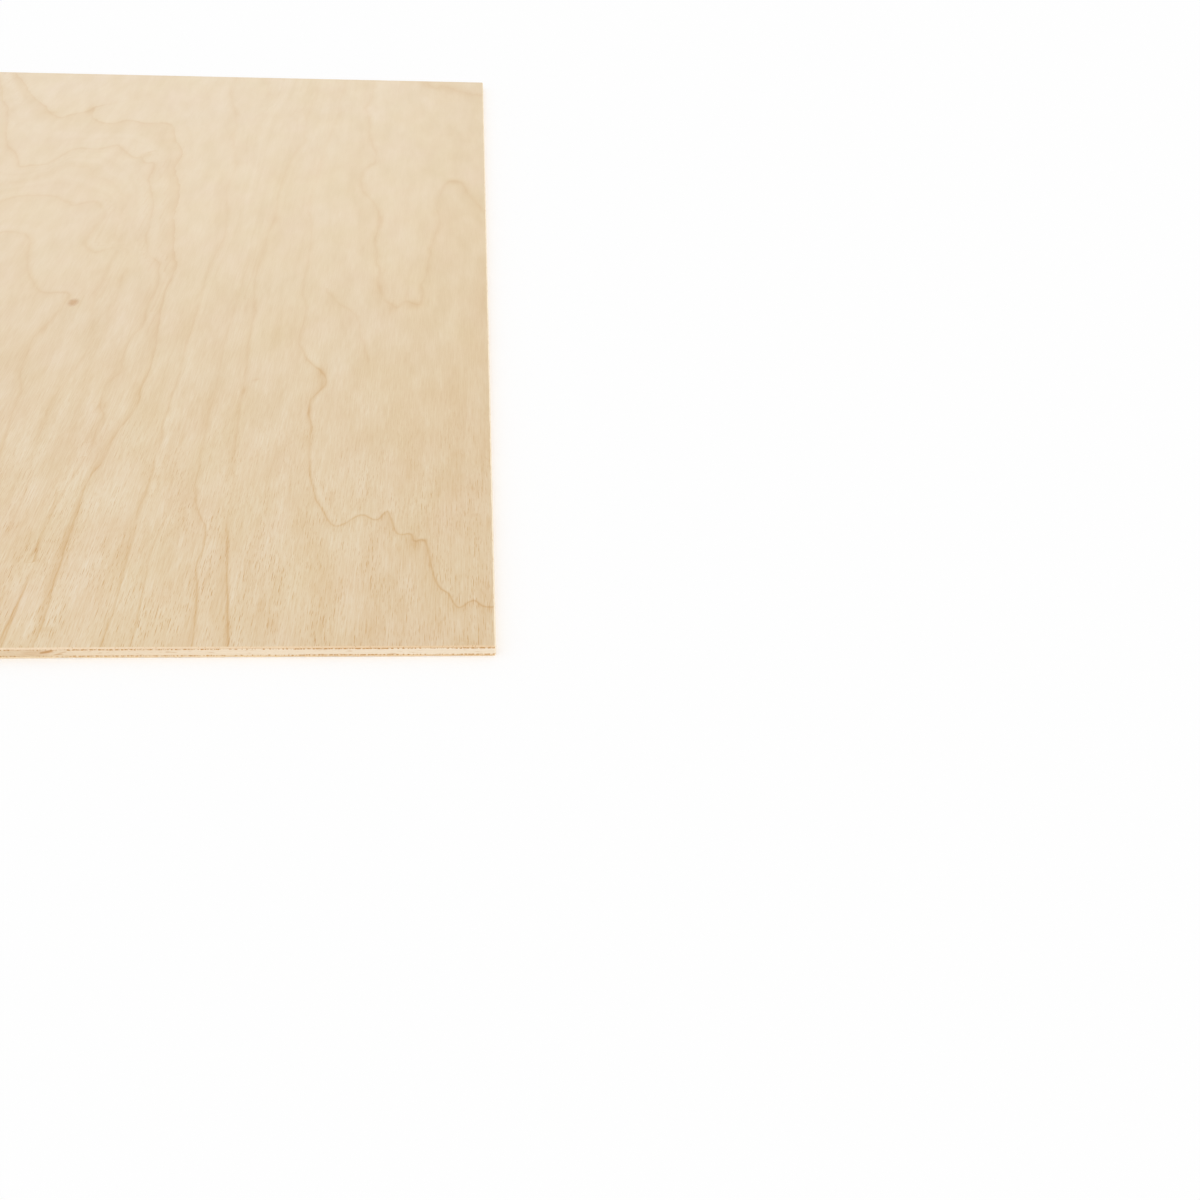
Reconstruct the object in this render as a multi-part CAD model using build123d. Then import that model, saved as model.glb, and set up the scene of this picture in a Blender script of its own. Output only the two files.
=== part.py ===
from build123d import *
import os

# A small sheet of three-ply maple plywood, lying flat with its face up.
#
# Three peeled veneers are glued together with their grain crossed: a thin face, a thicker core and a
# thin back. The grain of the face and the back runs along the sheet's length, and the grain of the
# core runs across it. The glued sheet is then trimmed to size on a saw, so all three plies share one
# outline, and its sharp edges are lightly sanded.
#
# Units are millimetres. The origin is the centre of the underside, +X is across the sheet, +Y runs
# along it and +Z points up, out of the face.

# Trimmed size of the sheet, as such stock is sold: 12 by 20 inches.
sheet_width = 304.8
sheet_length = 508.0

# Lay-up, from the underside up: 3.0 mm in all, which is sold as 1/8 inch.
back_thickness = 0.6
core_thickness = 1.8
face_thickness = 0.6

# Wear of the trimmed sheet: the four upright corners are slightly rounded, and the sharp edges round
# the face and the back are broken with sandpaper, the face's a little more.
corner_radius = 0.6
face_arris = 0.3
back_arris = 0.2


def sheet_outline():
    """The outline that the saw leaves, shared by every ply."""
    return RectangleRounded(sheet_width, sheet_length, corner_radius)


def ply(underside, thickness):
    """One veneer, trimmed to the sheet's outline, with its underside at the given height."""
    return extrude(Plane.XY.offset(underside) * sheet_outline(), amount=thickness)


def ease(veneer, outer_side, arris):
    """The veneer with the sharp edge round its outer side broken. +Z means the upper side is outer."""
    edges = veneer.edges().group_by(Axis.Z)[-1 if outer_side == "+Z" else 0]
    return chamfer(edges, arris)


core_underside = back_thickness
face_underside = core_underside + core_thickness

plies = {
    "back_veneer": ease(ply(0, back_thickness), "-Z", back_arris),
    "core_veneer": ply(core_underside, core_thickness),
    "face_veneer": ease(ply(face_underside, face_thickness), "+Z", face_arris),
}

os.makedirs("parts", exist_ok=True)
for node, solid in plies.items():
    export_step(solid, f"parts/{node}.step")
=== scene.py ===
import math
from functools import reduce

import bpy
import numpy as np
from mathutils import Matrix, Vector


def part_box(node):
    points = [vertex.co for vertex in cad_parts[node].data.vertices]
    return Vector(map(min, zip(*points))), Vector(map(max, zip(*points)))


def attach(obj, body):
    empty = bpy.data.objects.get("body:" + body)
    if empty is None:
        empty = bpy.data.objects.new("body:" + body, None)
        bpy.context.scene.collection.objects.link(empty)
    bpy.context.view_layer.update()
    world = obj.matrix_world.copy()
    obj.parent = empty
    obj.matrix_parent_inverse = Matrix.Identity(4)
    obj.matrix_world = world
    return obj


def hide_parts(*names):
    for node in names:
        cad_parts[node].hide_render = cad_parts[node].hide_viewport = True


# The looks of a small sheet of three-ply maple plywood, lying on a pale floor.
# Lengths named _MM are millimetres, and everything handed to Blender is in metres.

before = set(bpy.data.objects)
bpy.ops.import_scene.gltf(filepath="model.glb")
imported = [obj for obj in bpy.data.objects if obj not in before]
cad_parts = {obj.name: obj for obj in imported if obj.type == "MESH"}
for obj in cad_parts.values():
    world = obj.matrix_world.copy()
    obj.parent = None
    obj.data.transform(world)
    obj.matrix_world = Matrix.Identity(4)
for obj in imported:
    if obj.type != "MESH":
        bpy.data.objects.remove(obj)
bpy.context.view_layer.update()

MM = 0.001
FACE_LOW, FACE_HIGH = (np.array(corner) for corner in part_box("face_veneer"))
CORE_LOW, CORE_HIGH = (np.array(corner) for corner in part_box("core_veneer"))
HALF_WIDTH_MM = FACE_HIGH[0] / MM
HALF_LENGTH_MM = FACE_HIGH[1] / MM
TOP_MM = FACE_HIGH[2] / MM
UPPER_GLUE_MM = CORE_HIGH[2] / MM
LOWER_GLUE_MM = CORE_LOW[2] / MM


# Figure of the face
#
# Each growth line is a curve on the face. Its points are pairs of millimetres from the sheet's right
# and front edges, and run so that its outer side, where the next ring starts pale, is on the left
# hand. Its level counts the rings from left to right and steers the faint bands between the lines.
# Its ink is pairs of a distance from the front edge and a darkness, and its shade is how much of that
# lingers on the inner side.

GROWTH_LINES = {
    "knot_arch": dict(level=0, width=0.55, shade=0.6, ink=(0, 0.25, 200, 0.22, 300, 0.215), points=(
        205, -1, 204, 60, 203, 110, 200, 170, 198, 215, 195, 250, 190, 272, 184, 282, 181.4, 282.7,
        177.6, 282, 173.9, 279.4, 171.4, 275, 170, 268.7, 169.2, 262.5, 167.8, 255, 165.7, 245,
        163.2, 237.7, 160.7, 231.5, 157.6, 224.6, 153.9, 222, 148.2, 222.7, 145.7, 219, 146.4, 206,
        148.2, 192.7, 150, 181.5, 148.9, 167.7, 148, 156.5, 146.4, 149, 144.5, 141.5, 143.9, 130, 141, 100,
        139.5, 60, 138, -1)),
    "second_arch": dict(level=1, width=0.6, shade=0.5, ink=(0, 0.2, 200, 0.155, 330, 0.185), points=(
        224, -1, 223, 60, 220, 130, 216, 190, 212, 240, 207, 280, 198, 308, 188.2, 322.5, 185.7, 324.4,
        182, 325, 175.7, 325, 172, 323.5, 168.9, 320, 165.7, 317, 163, 313.7, 159.5, 317.5, 155.7, 318.7,
        153.2, 315, 150.7, 308.7, 149.2, 302.5, 149.7, 292.5, 150.5, 280, 150.5, 271, 148.2, 266,
        145.1, 262, 142, 265, 138.9, 267.5, 137.5, 262, 137.8, 250, 137, 234, 137.6, 224, 136.4, 214,
        134.5, 201.5, 132.6, 191.5, 130.7, 184, 130.5, 175, 131.5, 162, 132.6, 149, 133.9, 136.5,
        133.2, 124, 131.7, 100, 129.4, 84, 128.5, 67, 128.7, 40, 128, -1)),
    "soft_arch": dict(level=2, width=1.1, shade=0.6, ink=(0, 0.14, 240, 0.12, 370, 0.095), points=(
        242, -1, 240, 60, 236, 130, 231, 200, 226, 262, 218, 305, 204, 332, 189.5, 342.5, 184.5, 348.7,
        180.7, 353.7, 178.2, 360, 175.7, 367, 172, 363.7, 165.7, 362.5, 164.5, 358, 162, 350, 157, 346,
        152, 340, 149.5, 335, 145.7, 325, 143.9, 312.5, 142, 300, 141.4, 287.5, 140, 277.5, 136, 268,
        132, 260, 130.7, 243, 130.7, 234, 129.5, 224, 128.7, 205, 128, 180, 127, 156.5, 126.4, 146.5,
        125.1, 134, 123.9, 124, 123.2, 112, 120.9, 100.7, 121.5, 80, 122.5, 50, 121.8, 20, 121.5, -1)),
    "crown": dict(level=3, width=0.4, shade=1.1, ink=(0, 0.58, 60, 0.42, 100, 0.28, 130, 0.18, 160, 0.14,
        250, 0.18, 400, 0.18, 509, 0.15), points=(
        240, 509, 234, 490, 229.6, 477.5, 226, 462.5, 223.4, 455, 220, 447.5, 217.7, 437.5, 215.2, 427.5,
        213.4, 417.5, 211.5, 407.5, 208.3, 396, 206, 388.7, 202.5, 382.5, 200, 377.5, 197.6, 370,
        195.7, 363.7, 193.9, 360.7, 191.4, 363.7, 188.2, 363, 185, 365.6, 183.2, 370, 182, 374.4,
        180.5, 380, 178.9, 385, 175.7, 388, 170.7, 387, 167, 387.5, 163.9, 390.6, 160.7, 393.7,
        158.2, 389.4, 155, 383.7, 152, 378, 149, 376, 147, 382.5, 146.4, 375, 144.5, 368.7, 140.7, 369.4,
        139.6, 356, 139.5, 347.5, 138, 341, 136, 332.5, 133.5, 322.5, 131.7, 310, 130.7, 297.5,
        129.7, 287.5, 128.9, 277.5, 127, 268.7, 125.1, 260, 122, 255, 119.7, 251, 119, 243, 117.6, 236.5,
        117, 224, 117.5, 214, 117, 204, 116.3, 194, 118, 184, 118.5, 174, 118, 164, 116.8, 157.7,
        118.5, 151.5, 119.7, 146.5, 119.3, 136.5, 118.3, 130, 116.6, 125.5, 116.8, 117, 116.3, 104.5,
        117.3, 90, 118.2, 79.5, 119.1, 64.5, 119.2, 49.5, 118, 38, 117.6, 23, 117.2, -1)),
    "shoulder": dict(level=4, width=0.45, shade=2.2, ink=(0, 0.22, 60, 0.25, 130, 0.18, 200, 0.14,
        400, 0.135, 509, 0.13), points=(
        231, 509, 227, 500, 221, 487, 216.5, 475, 210, 461, 204, 451, 199, 440, 195, 435, 193, 433,
        190.5, 437, 186.5, 441, 183.4, 444, 181.5, 450, 180.7, 444, 179, 435, 176, 429.5, 172.5, 426,
        168, 425.5, 164, 430.5, 160, 430.5, 155, 427, 150, 427, 145, 428, 142, 424.5, 139.5, 417.5,
        138.4, 410, 136.5, 401, 134.5, 396, 131.4, 386, 130.7, 376, 131.3, 366, 129.5, 355, 127, 345,
        125, 334, 123.9, 325, 123, 312.5, 122.2, 300, 120.7, 292, 118.9, 280, 117.2, 267.5, 115.3, 258,
        113.5, 249, 113.2, 236.5, 113.5, 224, 112.6, 211.5, 111.7, 199, 110.7, 189, 109.5, 179,
        108.7, 167.5, 108.2, 157.5, 108.6, 144, 107.7, 134, 108.7, 123, 110.5, 114.5, 111, 104.5,
        111.4, 94.5, 112.9, 85.7, 113, 74.5, 112.2, 64.5, 112, 52, 111.4, 39.5, 111, 29.5, 110, 17,
        109.7, 9.5, 110, -1)),
    "rear_streak": dict(level=4.6, width=0.5, shade=0.4, ink=(460, 0.0, 480, 0.14, 509, 0.08), points=(
        108.5, 509, 106.4, 497.5, 105.1, 491, 104.2, 482.5, 103, 471, 102.6, 462)),
    "left_streak": dict(level=5, width=0.4, shade=0.45, ink=(0, 0.43, 100, 0.29, 200, 0.22, 330, 0.11,
        480, 0.16, 495, 0.07, 509, 0.04), points=(
        122, 509, 122.6, 490, 122, 479, 120, 468.7, 118.9, 461, 117, 452.5, 114.7, 440, 113.2, 427.5,
        112.4, 417.5, 112, 405, 109.5, 390, 108.2, 382, 107.6, 376, 106, 368.7, 106, 350, 106.3, 340,
        105.5, 330, 104.2, 320, 102.5, 310, 101.7, 300, 100.1, 281, 101, 262, 101.4, 236.5, 100.7, 221.5,
        100.1, 204, 99.7, 191.5, 99.7, 179, 99.1, 166.5, 98.5, 154, 98.5, 141.5, 98.2, 127, 98, 118,
        97, 109.5, 97, 98, 96.2, 89.5, 96, 77, 96.4, 67, 95.5, 54.5, 95.1, 42, 94.5, 29.5, 94, 17,
        94.1, -1)),
    "fine_streak": dict(level=6, width=0.35, shade=0.3, ink=(0, 0.58, 60, 0.24, 100, 0.11, 160, 0.08,
        262, 0.05), points=(
        97.6, 262, 95.7, 249, 94.3, 236.5, 92.2, 216.5, 92.6, 204, 93.5, 186.5, 93, 174, 92.6, 161.5,
        92.2, 149, 91.7, 136.5, 91.2, 110, 90.7, 92, 89.6, 80, 88.2, 69.5, 89.5, 47, 88.9, 34.5, 88.2, 23,
        87.5, 11, 87.2, -1)),
    "pair_left": dict(level=7, width=0.38, shade=0.5, ink=(0, 0.60, 60, 0.36, 100, 0.22, 200, 0.12,
        268, 0.08), points=(
        88.9, 268, 88.2, 249, 87.6, 224, 87.6, 199, 87.2, 174, 86.4, 161.5, 85.7, 149, 85.5, 136.5,
        85.5, 123, 84.7, 114.5, 84.2, 104.5, 83.5, 92, 83.2, 83, 81.7, 72, 80.5, 67, 78.9, 62, 77, 57,
        76.4, 47, 76.7, 37, 75.1, 27, 73.9, 17, 72.6, -1)),
    "pair_right": dict(level=8, width=0.42, shade=0.5, ink=(0, 0.68, 45, 0.55, 70, 0.17, 200, 0.27,
        260, 0.15, 509, 0.1), points=(
        81, 509, 81.4, 492.5, 80.7, 482.5, 81.4, 470, 81.7, 457.5, 82.2, 445, 82, 435, 81.4, 420, 81, 410,
        79.7, 402.5, 82, 392.5, 84, 370, 84.5, 330, 83.9, 320, 83.2, 300, 83.9, 287.5, 83.9, 266.5,
        83.9, 241.5, 83.2, 231.5, 82, 219, 80.5, 206.5, 80.1, 194, 79.7, 181.5, 78.5, 167.7, 78, 155,
        77.2, 145, 77, 134, 76.4, 125.7, 75.7, 117, 74.7, 100.7, 73.9, 92, 72.6, 82, 72.2, 72, 72, 60.7,
        70.7, 52, 69.5, 42, 68.5, 33, 67, 23, 65.7, 13, 63.9, -1)),
    "river": dict(level=9, width=0.38, shade=0.35, ink=(0, 0.71, 60, 0.55, 165, 0.45, 185, 0.21, 312, 0.13,
        509, 0.09), points=(
        68, 509, 68.9, 461, 67.6, 450, 68.9, 432, 70, 400, 71, 340, 70.7, 312, 69.5, 305, 67.7, 290,
        66.7, 275, 66.7, 261.5, 66, 249, 66.2, 236.5, 65.7, 224, 63.7, 214, 63, 204, 63.2, 191.5, 63, 180.2,
        61.2, 174, 59.5, 167.7, 57, 162.7, 54.5, 159, 52.5, 154, 52, 147.7, 54.2, 141.5, 55.7, 135.2,
        55.3, 126.5, 54, 118, 53.7, 110.7, 53.2, 102, 52, 89.5, 50.5, 80.7, 49, 73.2, 46.7, 67, 44.5, 60.7,
        42.7, 58.2, 40.7, 59.2, 38.2, 62.5, 35.7, 64.7, 33.5, 62.5, 31.5, 61.7, 29.2, 66.7, 27.7, 62,
        26, 54.5, 24.2, 53.7, 22.2, 54.2, 21.2, 50, 18.5, 51, 17.2, 43.2, 15.7, 33.2, 14, 26.7, 11.7, 23.7,
        9.2, 17.2, 5.7, 20.7, 2.7, 17.7, -1, 17.7)),
    "faint_drift": dict(level=9.4, width=0.5, shade=0.5, ink=(150, 0.0, 170, 0.2, 227, 0.15), points=(
        57, 226.5, 52, 215, 47, 207.7, 44.5, 199, 43, 186.5, 41.4, 179, 39.7, 166.5, 38.5, 150)),
    "hanging_loop": dict(level=10, width=0.5, shade=0.45, ink=(200, 0.22, 300, 0.24, 400, 0.21,
        509, 0.17), points=(
        54.2, 509, 54.2, 490, 53.7, 482.5, 54.5, 470, 55.7, 460, 54.7, 450, 53.2, 440, 52.5, 430, 52, 420,
        51, 410, 49.7, 401, 48, 391, 47.6, 383.7, 47.2, 375, 50.5, 367.5, 52, 357.5, 51.7, 347.5,
        50.5, 337.5, 48.2, 330, 45.1, 322.5, 43.2, 312.5, 41.7, 300, 42.2, 292.5, 42.6, 277.5, 41.3, 265,
        40.7, 254, 39.1, 246.5, 39.7, 239, 39.2, 231.5, 37.6, 225, 36.3, 219, 33.9, 215, 32, 211.5,
        30.5, 215, 29.2, 218.4, 26.3, 216, 24.3, 215, 23.5, 224, 24.2, 232.7, 22.7, 244, 22.2, 255,
        21.7, 266.5, 21.5, 272.5, 20.4, 283.7, 19.2, 293.7, 18.9, 303.7, 19.9, 312.5, 20, 325, 18.9, 335,
        17.6, 345, 15.7, 350.5, 13.2, 351.5, 10.1, 349.5, 8.5, 344, 7, 335, 4.7, 327.5, 2.5, 320, 1.2, 315,
        -1, 309)),
    "rear_corner": dict(level=11, width=1.1, shade=0.6, ink=(480, 0.24, 509, 0.24), points=(
        28.5, 509, 26, 500, 23.2, 496.5, 20.1, 502, 17, 497.5, 13.2, 493, 9.5, 489.4, 5, 486, -1, 485)),
    "far_left": dict(level=3, width=0.5, shade=0.5, ink=(0, 0.3, 509, 0.25), points=(
        275, -1, 272, 100, 268, 200, 262, 300, 258, 380, 262, 440, 262, 509)),
    "outer_left": dict(level=4, width=0.5, shade=0.5, ink=(0, 0.3, 509, 0.25), points=(
        294, -1, 291, 100, 288, 200, 284, 300, 286, 400, 285, 509)),
}

# Places between the lines where the rings turn back, so that the faint bands have a crest there.
RING_CRESTS = (
    (10.5, (38, 500, 34, 430, 32, 350, 31, 280, 30, 240)),
    (9.5, (10, 300, 8, 200, 20, 120, 10, 60)),
    (-0.6, (172, -1, 172, 100, 176, 180, 180, 230)),
    (2.5, (246, 500, 240, 420, 238, 350, 248, 250, 254, 100, 257, -1)),
)

# Smudges and a pin knot: place, half size across and along the grain, and darkness. A pale patch
# has a darkness below zero.
SMUDGES_MM = (
    (54, 157, 1.6, 6, 0.55), (53, 148, 1.2, 4, 0.35), (55.6, 128.5, 0.7, 3.5, 0.5),
    (21, 48.5, 0.9, 3.5, 0.55), (19, 50.8, 1, 0.6, 0.5), (45.4, 75, 0.9, 3.5, 0.35),
    (118.3, 131.5, 0.8, 3, 0.6), (182, 446, 1.5, 6, 0.5), (26, 215, 2.6, 4, 0.45), (33.5, 211, 1.2, 5, 0.3),
    (29, 222, 0.8, 4, 0.3), (38.5, 231, 1.6, 10, 0.2), (76.6, 143, 0.5, 3, 0.4),
    (98.6, 140.6, 0.5, 3, 0.25), (13, 350.5, 3.2, 3.5, 0.35), (108.5, 8, 1.6, 0.9, 0.4),
    (199, 440, 3, 3, 0.35), (145, 380, 1.5, 3, 0.3), (83, 300, 2, 6, 0.2), (42, 302, 1.2, 8, 0.25),
    (131, 236, 1, 6, 0.3), (74.2, 151.5, 0.6, 1.2, 0.5), (38, 112, 3, 6, 0.14), (5, 78, 6, 5, 0.14),
    (24, 17, 1.5, 4, 0.18), (43.5, 11, 1.5, 4, 0.2), (148.4, 190, 1, 5, 0.3), (230, 120, 1.4, 5, 0.4),
    (2, 235, 2.2, 45, 0.16), (123, 458, 4, 12, -0.09), (155, 303, 6, 12, -0.07),
    (81.3, 133.5, 1.6, 4, -0.13), (73.2, 147.5, 1.5, 3.5, -0.16), (87, 62, 1.5, 5, -0.12),
    (104, 112, 3, 9, -0.12), (127, 73, 3, 8, -0.12), (106.5, 20, 3, 14, -0.1), (30, 90, 6, 12, -0.06),
    (46, 180, 3.5, 18, -0.09), (24, 150, 1.6, 10, -0.12), (13, 200, 2.5, 14, -0.1),
    (100, 352, 5, 12, -0.06), (139, 405, 8, 5, -0.06), (66, 20, 1.5, 14, -0.08),
)
PIN_KNOT_MM = (143.4, 213.3)
PIN_KNOT_HALF_MM = (1.65, 3.2)


def smooth_curve(points, step=0.8):
    """Points about a step apart on a Catmull-Rom curve through the given ones."""
    points = np.reshape(points, (-1, 2)).astype(float)
    padded = np.vstack([2 * points[0] - points[1], points, 2 * points[-1] - points[-2]])
    pieces = []
    for before, start, end, after in zip(padded, padded[1:], padded[2:], padded[3:]):
        count = max(2, int(np.linalg.norm(end - start) / step))
        t = (np.arange(count) / count)[:, None]
        pieces.append(0.5 * (2 * start + (end - before) * t
                             + (2 * before - 5 * start + 4 * end - after) * t ** 2
                             + (3 * start - before - 3 * end + after) * t ** 3))
    return np.vstack(pieces + [points[-1:]])


def line_distances(spots, curve):
    """For each spot, its distance to the curve, the side it is on and its nearest point's index."""
    starts, steps = curve[:-1], np.diff(curve, axis=0)
    lengths = np.maximum((steps ** 2).sum(axis=1), 1e-12)
    best = np.full(len(spots), np.inf)
    side = np.zeros(len(spots))
    index = np.zeros(len(spots), int)
    for number, (start, step, length) in enumerate(zip(starts, steps, lengths)):
        away = spots - start
        share = np.clip((away @ step) / length, 0, 1)
        rest = away - share[:, None] * step
        distance = np.hypot(rest[:, 0], rest[:, 1])
        nearer = distance < best
        best[nearer] = distance[nearer]
        side[nearer] = np.sign(step[1] * away[nearer, 0] - step[0] * away[nearer, 1])
        index[nearer] = number
    return best, side, index


# Lines widen towards the rear: distances from the front edge, and multiples of a line's own width.
LINE_SPREAD = ((0, 0.9), (80, 1.0), (160, 1.5), (300, 2.4), (509, 3.4))

# A line is looked for within this far of it, on short stretches of its curve, which is quicker than
# the whole. Spots out of every line's reach count as this many half widths away.
LINE_REACH_MM = 14.0
STRETCH_STEPS = 12
FAR_HALF_WIDTHS = 50.0
# A spot is clear of the next line once that is this many half widths further than its own.
CLEAR_HALF_WIDTHS = 4


def figure_at(spots):
    """The figure at spots on the face, as the nearest line's values there.

    They are the distance from the line in its own half widths, with and without its side, the line's
    ink, its shade, and how clear of the next line the spot is. The outer side counts as plus.
    """
    far = np.full(len(spots), FAR_HALF_WIDTHS)
    signed, plain, second = far.copy(), far.copy(), far.copy()
    ink, shade = np.zeros(len(spots)), np.zeros(len(spots))
    for line in GROWTH_LINES.values():
        whole = smooth_curve(line["points"])
        nearest, sides, inks = far.copy(), np.zeros(len(spots)), np.zeros(len(spots))
        for first in range(0, len(whole) - 1, STRETCH_STEPS):
            curve = whole[first:first + STRETCH_STEPS + 1]
            low, high = curve.min(axis=0) - LINE_REACH_MM, curve.max(axis=0) + LINE_REACH_MM
            near = np.flatnonzero(np.all((spots > low) & (spots < high), axis=1))
            distance, side, index = line_distances(spots[near], curve)
            scaled = distance / (line["width"] * np.interp(curve[index, 1], *zip(*LINE_SPREAD)))
            closer = scaled < nearest[near]
            chosen = near[closer]
            nearest[chosen] = scaled[closer]
            sides[chosen] = side[closer]
            inks[chosen] = np.interp(curve[index[closer], 1], line["ink"][::2], line["ink"][1::2])
        wins = nearest < plain
        second = np.where(wins, plain, np.minimum(second, nearest))
        plain = np.where(wins, nearest, plain)
        signed = np.where(wins, nearest * sides, signed)
        ink = np.where(wins, inks, ink)
        shade = np.where(wins, line["shade"], shade)
    return signed, plain, ink, shade, np.clip((second - plain) / CLEAR_HALF_WIDTHS, 0, 1)


def smudges_at(spots):
    """How dark the smudges make each spot, up to 1, and how pale, down to -1."""
    dark = np.zeros(len(spots))
    for x, y, half_x, half_y, strength in SMUDGES_MM:
        dark += strength * np.exp(-((spots[:, 0] - x) / half_x) ** 2 - ((spots[:, 1] - y) / half_y) ** 2)
    return np.clip(dark, -1, 1)


# The ring count's coarse grid. It starts from even steps between the levels at the right and left
# edges, and each round evens it out, mostly along the grain.
RING_CELL_MM = 4.0
RING_ROUNDS = 900
RIGHT_LEVEL = 11
LEFT_LEVEL = 2
ALONG_GRAIN = 7.0


def ring_field():
    """A smooth ring count over the face that passes through the lines' levels."""
    columns = int(round(2 * HALF_WIDTH_MM / RING_CELL_MM)) + 1
    rows = int(round(2 * HALF_LENGTH_MM / RING_CELL_MM)) + 1
    total = np.zeros((rows, columns))
    count = np.zeros((rows, columns))
    known = [(line["level"], line["points"]) for line in GROWTH_LINES.values()] + list(RING_CRESTS)
    for level, points in known:
        curve = smooth_curve(points, RING_CELL_MM / 2)
        column = np.clip(np.round(curve[:, 0] / RING_CELL_MM).astype(int), 0, columns - 1)
        row = np.clip(np.round(curve[:, 1] / RING_CELL_MM).astype(int), 0, rows - 1)
        np.add.at(total, (row, column), level)
        np.add.at(count, (row, column), 1)
    fixed = count > 0
    values = total[fixed] / count[fixed]
    field = np.tile(np.linspace(RIGHT_LEVEL, LEFT_LEVEL, columns), (rows, 1))
    for _ in range(RING_ROUNDS):
        edged = np.pad(field, 1, mode="edge")
        sideways = edged[1:-1, :-2] + edged[1:-1, 2:]
        lengthways = edged[:-2, 1:-1] + edged[2:, 1:-1]
        field = (sideways + ALONG_GRAIN * lengthways) / (2 + 2 * ALONG_GRAIN)
        field[fixed] = values
    return field


def rings_at(field, spots):
    """The ring count at each spot, smoothly between the grid's nodes."""
    x = np.clip(spots[:, 0] / RING_CELL_MM, 0, field.shape[1] - 1.001)
    y = np.clip(spots[:, 1] / RING_CELL_MM, 0, field.shape[0] - 1.001)
    column, row = x.astype(int), y.astype(int)
    u, v = x - column, y - row
    u, v = u * u * (3 - 2 * u), v * v * (3 - 2 * v)
    lower = field[row, column] * (1 - u) + field[row, column + 1] * u
    upper = field[row + 1, column] * (1 - u) + field[row + 1, column + 1] * u
    return lower * (1 - v) + upper * v


# Meshes
#
# Each ply is a closed solid. Its wall is a stack of rings round the trimmed outline, with the small
# roughness that a saw leaves, and its two flat sides are grids that meet the rings.

# The corners are rounded as in the CAD, and the outline is divided finely enough for the saw's marks.
CORNER_RADIUS_MM = 0.6
WALL_STEP_MM = 0.62
CORNER_STEPS = 3


def outline():
    """Points and outward normals round the sheet, starting on the front edge, anticlockwise."""
    points, normals = [], []
    straight = (HALF_WIDTH_MM - CORNER_RADIUS_MM, HALF_LENGTH_MM - CORNER_RADIUS_MM)
    centres = np.array(((1, -1), (1, 1), (-1, 1), (-1, -1))) * straight
    for number, centre in enumerate(centres):
        for turn in range(CORNER_STEPS + 1):
            angle = math.radians(90 * (number - 1 + turn / CORNER_STEPS))
            normal = np.array([math.cos(angle), math.sin(angle)])
            points.append(centre + CORNER_RADIUS_MM * normal)
            normals.append(normal)
        start, goal = points[-1], centres[(number + 1) % 4] + CORNER_RADIUS_MM * normal
        count = int(np.linalg.norm(goal - start) / WALL_STEP_MM)
        for part in range(1, count):
            points.append(start + (goal - start) * part / count)
            normals.append(normal)
    return np.array(points), np.array(normals)


def loop_noise(rng, count, wavelength):
    """Smooth random values from 0 to 1 round a closed loop of points."""
    knots = rng.random(max(4, int(count * WALL_STEP_MM / wavelength)))
    place = np.arange(count) / count * len(knots)
    low = place.astype(int)
    share = place - low
    share = share * share * (3 - 2 * share)
    return knots[low % len(knots)] * (1 - share) + knots[(low + 1) % len(knots)] * share


def graded(half, count, ratio):
    """Places from -half to half whose spacing grows steadily, the last ratio times the first."""
    steps = np.linspace(1, ratio, count)
    return 2 * half * np.concatenate([[0], np.cumsum(steps)]) / steps.sum() - half


def zipper(outer, outer_at, inner, inner_at):
    """Triangles between two closed loops of vertex numbers, each with its places round the sheet."""
    faces = []
    i = j = 0
    while i < len(outer) or j < len(inner):
        next_outer = outer_at[i + 1] if i < len(outer) else np.inf
        next_inner = inner_at[j + 1] if j < len(inner) else np.inf
        a, b = outer[i % len(outer)], inner[j % len(inner)]
        if next_outer <= next_inner:
            faces.append((a, outer[(i + 1) % len(outer)], b))
            i += 1
        else:
            faces.append((a, inner[(j + 1) % len(inner)], b))
            j += 1
    return faces


def way_round(points):
    """How far round the sheet each point of a closed loop is, by its place on the four sides."""
    x, y = points[:, 0] / HALF_WIDTH_MM, points[:, 1] / HALF_LENGTH_MM
    front = -y >= np.abs(x)
    right = x > np.abs(y)
    rear = (y >= np.abs(x)) & ~front
    return np.select([front, right, rear], [(x + 1) / 2, 1 + (y + 1) / 2, 2 + (1 - x) / 2],
                     3 + (1 - y) / 2)


def cap_grid(xs, ys, height, vertices):
    """Adds a flat grid and returns its quads and the vertex numbers of its border, anticlockwise."""
    first = len(vertices)
    vertices.extend((x, y, height) for y in ys for x in xs)
    columns, rows = len(xs), len(ys)
    number = first + np.arange(columns * rows).reshape(rows, columns)
    quads = np.stack([number[:-1, :-1], number[:-1, 1:], number[1:, 1:], number[1:, :-1]], axis=-1)
    border = np.concatenate([number[0, :-1], number[:-1, -1], number[-1, :0:-1], number[:0:-1, 0]])
    return quads.reshape(-1, 4).tolist(), border.tolist()


def from_start(loop, vertices):
    """The loop of vertex numbers and its places round the sheet, turned to start at the smallest."""
    place = way_round(np.array([vertices[n][:2] for n in loop]))
    start = int(np.argmin(place))
    place = np.maximum.accumulate(np.roll(place, -start))
    return loop[start:] + loop[:start], np.append(place, place[0] + 4)


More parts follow.
